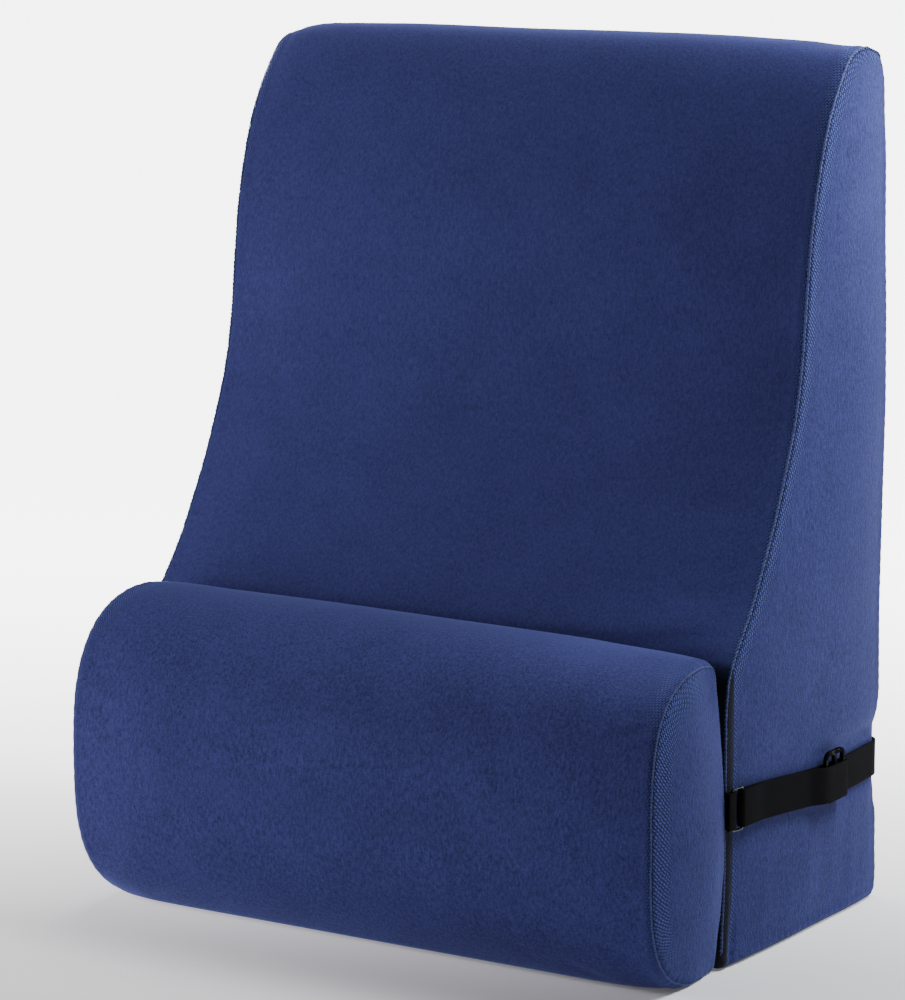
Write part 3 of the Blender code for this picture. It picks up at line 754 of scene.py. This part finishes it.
    rib_relief = add(
        tree, "ShaderNodeBump", {"Strength": 0.7, "Distance": 0.0007}, {"Height": nap.outputs[0]}
    )
    stitch_relief = add(
        tree,
        "ShaderNodeBump",
        {"Strength": 0.8, "Distance": 0.0006},
        {"Height": shown.outputs[0], "Normal": rib_relief.outputs[0]},
    )
    tree.links.new(stitch_relief.outputs[0], shader.inputs["Normal"])
    shader.inputs["Roughness"].default_value = 0.9
    shader.inputs["Specular IOR Level"].default_value = 0.15
    shader.inputs["Sheen Weight"].default_value = 0.38
    shader.inputs["Sheen Roughness"].default_value = 0.35
    shader.inputs["Sheen Tint"].default_value = linear("#8896E0")
    return material


def woven_tape(name, dark, light):
    """Woven polypropylene tape: matte black yarns in a fine weave."""
    material = bpy.data.materials.new(name)
    material.use_nodes = True
    tree = material.node_tree
    shader = tree.nodes["Principled BSDF"]
    route = add(tree, "ShaderNodeUVMap", uv_map="tape")
    # Yarns 0.9 mm apart, a little coarser than real ones so that they show.
    scaled = add(
        tree, "ShaderNodeMapping", {"Scale": (1 / 0.0018, 1 / 0.0018, 1)}, {"Vector": route.outputs[0]}
    )
    yarns = add(
        tree,
        "ShaderNodeTexBrick",
        {"Scale": 1.0, "Mortar Size": 0.12, "Mortar Smooth": 1.0, "Brick Width": 1.0, "Row Height": 0.5},
        {"Vector": scaled.outputs[0]},
    )
    fuzz = add(tree, "ShaderNodeTexNoise", {"Scale": 0.35, "Detail": 3.0}, {"Vector": scaled.outputs[0]})
    raised = add(
        tree, "ShaderNodeMath", {0: 1.0}, {1: yarns.outputs["Fac"]}, operation="SUBTRACT"
    )
    shade = add(
        tree, "ShaderNodeMath", None, {0: raised.outputs[0], 1: fuzz.outputs[0]}, operation="MULTIPLY"
    )
    colour = add(
        tree, "ShaderNodeMix", {6: linear(dark), 7: linear(light)}, {0: shade.outputs[0]}, data_type="RGBA"
    )
    relief = add(
        tree, "ShaderNodeBump", {"Strength": 0.5, "Distance": 0.0003}, {"Height": raised.outputs[0]}
    )
    tree.links.new(colour.outputs[2], shader.inputs["Base Color"])
    tree.links.new(relief.outputs[0], shader.inputs["Normal"])
    shader.inputs["Roughness"].default_value = 0.9
    shader.inputs["Specular IOR Level"].default_value = 0.05
    return material


def glossy(name, colour, worn, roughness, metallic, specular, grain):
    """A hard glossy finish with faint handling marks: black coated steel wire, or moulded acetal."""
    material = bpy.data.materials.new(name)
    material.use_nodes = True
    tree = material.node_tree
    shader = tree.nodes["Principled BSDF"]
    place = add(tree, "ShaderNodeTexCoord")
    marks = add(
        tree, "ShaderNodeTexNoise", {"Scale": grain, "Detail": 4.0}, {"Vector": place.outputs["Object"]}
    )
    tone = add(
        tree, "ShaderNodeMix", {6: linear(colour), 7: linear(worn)}, {0: marks.outputs[0]}, data_type="RGBA"
    )
    gloss = add(
        tree,
        "ShaderNodeMapRange",
        {"From Min": 0.4, "From Max": 0.6, "To Min": 0.6 * roughness, "To Max": 2.6 * roughness},
        {"Value": marks.outputs[0]},
    )
    relief = add(tree, "ShaderNodeBump", {"Strength": 0.1, "Distance": 0.0001}, {"Height": marks.outputs[0]})
    tree.links.new(tone.outputs[2], shader.inputs["Base Color"])
    tree.links.new(gloss.outputs[0], shader.inputs["Roughness"])
    tree.links.new(relief.outputs[0], shader.inputs["Normal"])
    shader.inputs["Metallic"].default_value = metallic
    shader.inputs["Specular IOR Level"].default_value = specular
    return material


def thread(name, dark, light):
    """Spun polyester sewing thread, a little lighter than the pile it lies in."""
    material = bpy.data.materials.new(name)
    material.use_nodes = True
    tree = material.node_tree
    shader = tree.nodes["Principled BSDF"]
    place = add(tree, "ShaderNodeTexCoord")
    plies = add(
        tree, "ShaderNodeTexNoise", {"Scale": 700.0, "Detail": 2.0}, {"Vector": place.outputs["Object"]}
    )
    colour = add(
        tree, "ShaderNodeMix", {6: linear(dark), 7: linear(light)}, {0: plies.outputs[0]}, data_type="RGBA"
    )
    relief = add(tree, "ShaderNodeBump", {"Strength": 0.5, "Distance": 0.0003}, {"Height": plies.outputs[0]})
    tree.links.new(colour.outputs[2], shader.inputs["Base Color"])
    tree.links.new(relief.outputs[0], shader.inputs["Normal"])
    shader.inputs["Roughness"].default_value = 0.8
    shader.inputs["Sheen Weight"].default_value = 0.4
    shader.inputs["Sheen Tint"].default_value = linear("#93A2DC")
    return material


wedge_velour = velour("wedge_velour", "#1C214A", "#353970", "#3F4A8A", 0.0013, 0.62)
bolster_velour = velour("bolster_velour", "#1C214A", "#353970", "#3F4A8A", 0.0010, 0.9)
tape = woven_tape("black_tape", "#08080A", "#17171A")
wire_coat = glossy("coated_steel_wire", "#060607", "#101012", 0.12, 0.0, 0.6, 420.0)
acetal = glossy("moulded_acetal", "#040405", "#08080A", 0.5, 0.0, 0.04, 200.0)
seam_thread = thread("seam_thread", "#1E2550", "#48548E")


# Cushions into the scene.

wedge_cover = build_wedge_cover()
finish_piece(wedge_cover, wedge_velour, "wedge_cushion")
bolster_cover = build_bolster_cover()
finish_piece(bolster_cover, bolster_velour, "bolster_cushion")


# Seams.

def seam_cord(name, line, tree, radius, lift, pitch, closed, step):
    """The ridge along a sewn edge: the two threads that lock it, laid round each other and half sunk."""
    stations = resample(line, step, closed)
    found = [tree.find_nearest(Vector(station)) for station in stations]
    centres = np.array([hit[0][:] for hit in found])
    outs = soften(np.array([hit[1][:] for hit in found]), 8, closed)
    outs /= np.linalg.norm(outs, axis=1)[:, None]
    if closed:
        ways = np.roll(centres, -1, axis=0) - np.roll(centres, 1, axis=0)
    else:
        ways = np.gradient(centres, axis=0)
    across = np.cross(ways, outs)
    across /= np.linalg.norm(across, axis=1)[:, None]
    length = len(stations) * step
    from_end = step * np.minimum(np.arange(len(stations)), np.arange(len(stations))[::-1])
    sunk = 0.0 if closed else 3.0 * radius * (1.0 - smooth(from_end, 0.0, 0.008))
    turns = 2 * math.pi * np.arange(len(stations)) / len(stations) * round(length / pitch)
    curve = bpy.data.curves.new(name, "CURVE")
    curve.dimensions = "3D"
    curve.bevel_depth = radius
    curve.bevel_resolution = 1
    curve.use_fill_caps = not closed
    for start in (0.0, math.pi):
        swing = 1.15 * radius
        raised = lift + swing * np.cos(turns + start) - sunk
        knots = centres + outs * raised[:, None] + across * (swing * np.sin(turns + start))[:, None]
        spline = curve.splines.new("POLY")
        spline.points.add(len(knots) - 1)
        for place, knot in zip(spline.points, knots):
            place.co = (*knot, 1.0)
        spline.use_cyclic_u = closed
    item = bpy.data.objects.new(name, curve)
    bpy.context.scene.collection.objects.link(item)
    make_active(item)
    bpy.ops.object.convert(target="MESH")
    item = bpy.context.object
    item.data.shade_smooth()
    finish_piece(item, seam_thread)


def front_part(line):
    """The part of a side seam's loop that joins the front: up from the floor and over the top."""
    kept = (line[:, 2] > 0.006) & (line[:, 1] < WEDGE_HIGH.y - 0.012)
    first = int(np.nonzero(kept & ~np.roll(kept, 1))[0][0])
    turned = np.roll(line, -first, axis=0)
    return turned[: int(np.count_nonzero(kept))]


wedge_cover_tree = tree_of(wedge_cover)
bolster_cover_tree = tree_of(bolster_cover)
for loop_line, side_name in zip(wedge_side_seams, ("right", "left")):
    seam_cord(
        f"wedge_seam_{side_name}",
        wedge_fuller(front_part(loop_line)),
        wedge_cover_tree,
        radius=WEDGE_THREAD,
        lift=0.0001,
        pitch=WEDGE_TWIST,
        closed=False,
        step=0.0006,
    )
for loop_line, side_name in zip(bolster_seams, ("right", "left")):
    seam_cord(
        f"bolster_seam_{side_name}",
        bolster_fuller(loop_line),
        bolster_cover_tree,
        radius=BOLSTER_THREAD,
        lift=0.0,
        pitch=BOLSTER_TWIST,
        closed=True,
        step=0.0005,
    )


# Webbing.

def eased_route(route, longest):
    """More points on a smooth curve through a route's points."""
    given = [Vector(point) + FOOT for point in route]
    eased = [given[0]]
    for i in range(len(given) - 1):
        here, following = given[i], given[i + 1]
        before = given[max(i - 1, 0)]
        beyond = given[min(i + 2, len(given) - 1)]
        span = (following - here).length
        parts = max(int(math.ceil(span / longest)), 1)
        start_pull = (following - before).normalized() * span
        end_pull = (beyond - here).normalized() * span
        for part in range(1, parts + 1):
            t = part / parts
            eased.append(
                here * (2 * t**3 - 3 * t**2 + 1)
                + start_pull * (t**3 - 2 * t**2 + t)
                + following * (3 * t**2 - 2 * t**3)
                + end_pull * (t**3 - t**2)
            )
    return eased


def tape_profile():
    """Half-round edges and a slightly thinner middle: (across, out) round the tape's section."""
    half = WEBBING_THICKNESS / 2
    edge = WEBBING_WIDTH / 2
    points = []
    for across in (-0.97, -0.9, -0.6, -0.2, 0.2, 0.6, 0.9, 0.97):
        points.append((across * edge, half if 0.8 < abs(across) < 0.95 else 0.9 * half))
    points.append((edge, 0.0))
    for across in (0.97, 0.9, 0.6, 0.2, -0.2, -0.6, -0.9, -0.97):
        points.append((across * edge, -half if 0.8 < abs(across) < 0.95 else -0.9 * half))
    points.append((-edge, 0.0))
    return points


def lay_tape(name, route, node):
    """Webbing that stands on its edge along a route; its UV map is in metres along and across."""
    line = eased_route(route, 0.003)
    profile = tape_profile()
    count = len(profile)
    bm = bmesh.new()
    uv = bm.loops.layers.uv.new("tape")
    rings = []
    runs = [0.0]
    for i, centre in enumerate(line):
        ahead = line[min(i + 1, len(line) - 1)] - line[max(i - 1, 0)]
        ahead.z = 0.0
        ahead.normalize()
        out = Vector((ahead.y, -ahead.x, 0.0))
        ring = [bm.verts.new(centre + out * away + Vector((0, 0, across))) for across, away in profile]
        rings.append(ring)
        if i:
            runs.append(runs[-1] + (line[i] - line[i - 1]).length)
    for i in range(len(rings) - 1):
        for k in range(count):
            n = (k + 1) % count
            face = bm.faces.new((rings[i][k], rings[i + 1][k], rings[i + 1][n], rings[i][n]))
            marks = ((runs[i], k), (runs[i + 1], k), (runs[i + 1], n), (runs[i], n))
            for loop, (run, place) in zip(face.loops, marks):
                loop[uv].uv = (run, profile[place][0])
    bm.faces.new(rings[0])
    bm.faces.new(list(reversed(rings[-1])))
    bmesh.ops.recalc_face_normals(bm, faces=bm.faces)
    mesh = bpy.data.meshes.new(name)
    bm.to_mesh(mesh)
    bm.free()
    mesh.shade_smooth()
    item = bpy.data.objects.new(name, mesh)
    bpy.context.scene.collection.objects.link(item)
    finish_piece(item, tape, node)
    return item, runs[-1]


strap, strap_length = lay_tape("strap_tape", STRAP_ROUTE, "strap_webbing")
tab, tab_length = lay_tape("tab_tape", TAB_ROUTE, "tab_webbing")


# Link and slider.

def rounded_hardware(node, name, bevel, material):
    """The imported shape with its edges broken, as a moulding has them."""
    piece = merged_copy(node, name)
    make_active(piece)
    bpy.ops.object.mode_set(mode="EDIT")
    bpy.ops.mesh.select_all(action="SELECT")
    bpy.ops.mesh.dissolve_limited(angle_limit=math.radians(1))
    bpy.ops.object.mode_set(mode="OBJECT")
    if bevel:
        rounding = piece.modifiers.new("rounding", "BEVEL")
        rounding.width = bevel
        rounding.segments = 3
        rounding.limit_method = "ANGLE"
        rounding.angle_limit = math.radians(50)
        bpy.ops.object.modifier_apply(modifier=rounding.name)
    bpy.ops.object.shade_smooth_by_angle(angle=math.radians(40))
    finish_piece(piece, material, node)


rounded_hardware("strap_slider", "slider_frame", 0.0006, acetal)
rounded_hardware("link_ring", "link_wire", 0.0, wire_coat)

for spare in (wedge_source, bolster_source):
    bpy.data.objects.remove(spare, do_unlink=True)


# Floor, light and camera.

bpy.ops.mesh.primitive_plane_add(size=40, location=(0, 0, PAPER_LEVEL))
floor = bpy.context.object
floor.name = "floor"
paper = bpy.data.materials.new("studio_paper")
paper.use_nodes = True
paper_tree = paper.node_tree
paper_shader = paper_tree.nodes["Principled BSDF"]
paper_shader.inputs["Base Color"].default_value = linear("#F5F5F5")
paper_shader.inputs["Roughness"].default_value = 0.9
# The paper's far end is lit on its own, as a studio backdrop is.
paper_place = add(paper_tree, "ShaderNodeTexCoord")
behind = add(
    paper_tree,
    "ShaderNodeVectorMath",
    {1: (-CAMERA_BACK.x, -CAMERA_BACK.y, 0.0)},
    {0: paper_place.outputs["Object"]},
    operation="DOT_PRODUCT",
)
backdrop_light = add(
    paper_tree,
    "ShaderNodeMapRange",
    {"From Min": -0.3, "From Max": 1.3, "To Max": BACKDROP_GLOW},
    {"Value": behind.outputs["Value"]},
    interpolation_type="SMOOTHSTEP",
)
paper_shader.inputs["Emission Color"].default_value = (1.0, 1.0, 1.0, 1.0)
paper_tree.links.new(backdrop_light.outputs[0], paper_shader.inputs["Emission Strength"])
floor.data.materials.append(paper)


def softbox(name, place, target, width, height, power, colour):
    light = bpy.data.lights.new(name, "AREA")
    light.shape = "RECTANGLE"
    light.size = width
    light.size_y = height
    light.energy = power
    light.color = colour
    item = bpy.data.objects.new(name, light)
    item.location = place
    item.rotation_euler = (Vector(target) - Vector(place)).to_track_quat("-Z", "Y").to_euler()
    bpy.context.scene.collection.objects.link(item)


softbox("key_right", (0.58, 0.28, 0.86), (0.22, 0.06, 0.42), 0.35, 0.35, 11.4, (0.94, 0.96, 1.0))
softbox("fill_left", (-1.16, -0.92, 0.44), (-0.1, 0.0, 0.24), 0.7, 0.9, 25, (1.0, 0.945, 0.99))
softbox("top", (-0.3, 0.44, 1.65), (-0.1, 0.0, 0.3), 0.9, 0.7, 11.5, (1.0, 0.97, 0.98))

world = bpy.data.worlds.new("studio")
bpy.context.scene.world = world
world.use_nodes = True
world.node_tree.nodes["Background"].inputs["Color"].default_value = (1.0, 1.0, 1.0, 1.0)
world.node_tree.nodes["Background"].inputs["Strength"].default_value = 0.05

lens = bpy.data.cameras.new("camera")
lens.sensor_fit = "VERTICAL"
lens.sensor_height = SENSOR
lens.lens = CAMERA_LENS
lens.clip_end = 100
camera = bpy.data.objects.new("camera", lens)
bpy.context.scene.collection.objects.link(camera)
facing = Matrix((CAMERA_RIGHT, CAMERA_UP, CAMERA_BACK)).transposed()
camera.matrix_world = Matrix.Translation(FOOT + CAMERA_PLACE) @ facing.to_4x4()
bpy.context.scene.camera = camera
